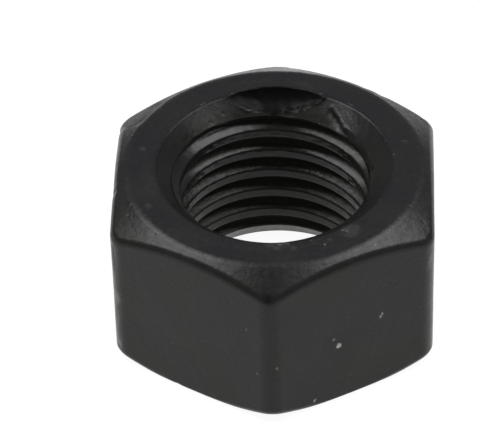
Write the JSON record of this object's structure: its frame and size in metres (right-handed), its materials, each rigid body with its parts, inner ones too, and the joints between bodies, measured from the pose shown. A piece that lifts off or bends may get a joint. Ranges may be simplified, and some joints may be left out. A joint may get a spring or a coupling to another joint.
{
  "type": "hex nut",
  "caption": "Black-finished steel hexagon nut with chamfered corners, a countersunk bore at both ends and a right-hand internal screw thread.",
  "frame": {"origin": "centre of the base bearing face, on the thread axis", "axes": "+Z along the thread axis towards the top face, the one with the wider chamfer; one corner of the hexagon points along -Y and two of its flats face +X and -X"},
  "size_m": [0.03, 0.034, 0.0171],
  "materials": {
    "black_oxide_steel": "satin"
  },
  "bodies": {
    "root": {"hex_nut": "black_oxide_steel"}
  },
  "joints": []
}
